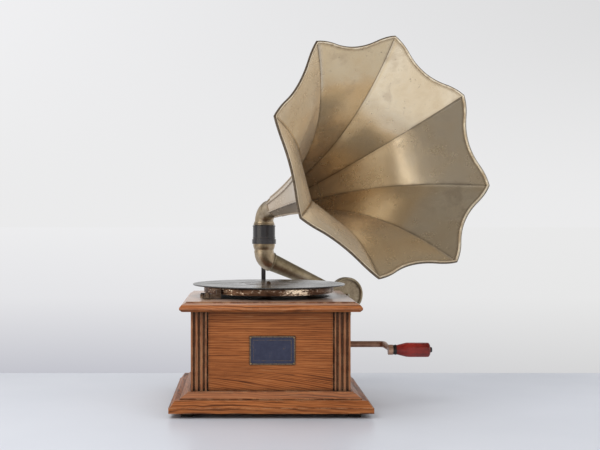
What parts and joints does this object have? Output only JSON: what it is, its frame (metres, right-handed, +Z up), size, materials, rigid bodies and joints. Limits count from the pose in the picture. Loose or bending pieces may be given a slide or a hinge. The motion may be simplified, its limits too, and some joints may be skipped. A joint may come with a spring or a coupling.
{
  "type": "horn gramophone",
  "caption": "Spring-driven gramophone in a square oak case, with a panelled metal horn on a rear bracket, a tubular tonearm with soundbox, a turntable and a side winding crank.",
  "frame": {"origin": "on the floor, under the middle of the overall bounding box", "axes": "+X to the crank side, +Y to the rear bracket, +Z up"},
  "size_m": [0.511, 0.499, 0.5937],
  "materials": {
    "black_wood": "matt black stain",
    "oak": "worn satin varnish",
    "pine": "bare",
    "blue_plate": "dull enamel with a bare border",
    "aged_brass": "aged",
    "crank_steel": "browned",
    "black_lacquer": "gloss black",
    "red_wood": "gloss red lacquer",
    "motor_iron": "plain",
    "gear_brass": "oiled",
    "arbor_steel": "turned",
    "spring_steel": "blued",
    "copper_rim": "tarnished, coppery",
    "felt": "felt",
    "shellac": "grooved",
    "dull_nickel": "dull nickel",
    "leather": "oiled",
    "arm_nickel": "worn nickel over brass",
    "gasket_rubber": "matt",
    "mica": "clouded",
    "horn_metal": "worn nickel over brass"
  },
  "bodies": {
    "case": {"feet": "black_wood", "plinth_mouldings": "oak", "bottom_board": "pine", "corner_posts": "oak", "front_panel": "oak", "back_panel": "oak", "left_panel": "oak", "right_panel": "oak", "top_board": "oak", "nameplate": "blue_plate", "nameplate_pins": "aged_brass", "crank_bush": "aged_brass", "motor_plate": "motor_iron", "motor_base": "motor_iron", "motor_pillars": "motor_iron", "motor_bolts": "arbor_steel", "brake_plate": "dull_nickel", "brake_screws": "dull_nickel", "bracket": "black_lacquer", "bracket_screws": "black_lacquer"},
    "crank": {"crank_rod": "crank_steel", "crank_pin": "black_lacquer", "winding_pinion": "gear_brass"},
    "grip": {"crank_ferrule": "black_lacquer", "crank_grip": "red_wood"},
    "winder": {"barrel_arbor": "arbor_steel", "winding_wheel": "gear_brass"},
    "barrel": {"barrel": "gear_brass", "barrel_lid": "gear_brass", "mainspring": "spring_steel"},
    "intermediate": {"intermediate_arbor": "arbor_steel", "intermediate_wheel": "gear_brass"},
    "platter": {"spindle": "arbor_steel", "spindle_wheel": "gear_brass", "turntable": "copper_rim", "turntable_felt": "felt", "record": "shellac"},
    "governor": {"governor_shaft": "arbor_steel", "governor_weights": "gear_brass", "governor_springs": "spring_steel", "governor_disc": "gear_brass"},
    "regulator": {"speed_knob": "black_lacquer", "speed_lever": "motor_iron"},
    "brake": {"brake_lever": "dull_nickel", "brake_pad": "leather"},
    "thrust": {"thrust_washer": "aged_brass"},
    "packing": {"packing_washer": "leather"},
    "tonearm": {"tonearm_elbow": "arm_nickel", "tonearm_tube": "arm_nickel", "soundbox_shell": "arm_nickel", "soundbox_ring": "arm_nickel", "soundbox_gaskets": "gasket_rubber", "diaphragm": "mica", "stylus_bar": "dull_nickel", "needle": "arbor_steel"},
    "needle_clamp": {"needle_screw": "aged_brass"},
    "horn": {"horn_elbow": "horn_metal", "horn_petals": "horn_metal", "horn_seams": "horn_metal", "horn_rim": "horn_metal"}
  },
  "joints": [
    {"name": "crank_spin", "type": "hinge", "parent": "case", "child": "crank", "pos_m": [0.08944, -0.01663, 0.0946], "axis": [1, 0, 0], "continuous": true},
    {"name": "grip_spin", "type": "hinge", "parent": "crank", "child": "grip", "pos_m": [0.09304, -0.09263, 0.0946], "axis": [1, 0, 0], "continuous": true},
    {"name": "winder_spin", "type": "hinge", "parent": "case", "child": "winder", "pos_m": [-0.04256, -0.01663, 0.1], "axis": [0, 0, 1], "continuous": true},
    {"name": "turntable_spin", "type": "hinge", "parent": "case", "child": "platter", "pos_m": [-0.10056, -0.01663, 0.18], "axis": [0, 0, 1], "continuous": true},
    {"name": "barrel_spin", "type": "hinge", "parent": "case", "child": "barrel", "pos_m": [-0.04256, -0.01663, 0.13], "axis": [0, 0, 1], "continuous": true},
    {"name": "intermediate_spin", "type": "hinge", "parent": "case", "child": "intermediate", "pos_m": [-0.08694, 0.01161, 0.12], "axis": [0, 0, 1], "continuous": true},
    {"name": "governor_spin", "type": "hinge", "parent": "case", "child": "governor", "pos_m": [-0.12885, -0.02692, 0.12], "axis": [0, 0, 1], "continuous": true},
    {"name": "speed_turn", "type": "hinge", "parent": "case", "child": "regulator", "pos_m": [-0.20856, -0.03523, 0.16], "axis": [0, 0, 1], "range_deg": [-1, 10]},
    {"name": "brake_turn", "type": "hinge", "parent": "case", "child": "brake", "pos_m": [-0.19908, -0.10022, 0.178], "axis": [0, 0, 1], "range_deg": [-22, 1.5]},
    {"name": "tonearm_swing", "type": "hinge", "parent": "case", "child": "thrust", "pos_m": [-0.10406, 0.18337, 0.27], "axis": [0, 0, -1], "range_deg": [-30, 28]},
    {"name": "tonearm_carry", "type": "hinge", "parent": "thrust", "child": "packing", "pos_m": [-0.10406, 0.18337, 0.27], "axis": [0, 0, -1], "range_deg": [0, 81.6]},
    {"name": "tonearm_lift", "type": "hinge", "parent": "packing", "child": "tonearm", "pos_m": [-0.10406, 0.18337, 0.2545], "axis": [0.342, -0.9397, 0], "range_deg": [0, 34]},
    {"name": "needle_screw_turn", "type": "hinge", "parent": "tonearm", "child": "needle_clamp", "pos_m": [0.05399, 0.20482, 0.12567], "axis": [0.9397, 0.342, 0], "range_deg": [-90, 90]},
    {"name": "horn_swivel", "type": "hinge", "parent": "case", "child": "horn", "pos_m": [-0.10406, 0.18337, 0.29], "axis": [0, 0, 1], "range_deg": [-60, 60]}
  ],
  "couplings": [
    {"joint": "winder_spin", "follows": "crank_spin", "ratio": -0.30769},
    {"joint": "intermediate_spin", "follows": "turntable_spin", "ratio": -0.25},
    {"joint": "barrel_spin", "follows": "turntable_spin", "ratio": 0.041667},
    {"joint": "governor_spin", "follows": "turntable_spin", "ratio": -5},
    {"joint": "tonearm_carry", "follows": "tonearm_lift", "ratio": 2.4}
  ]
}
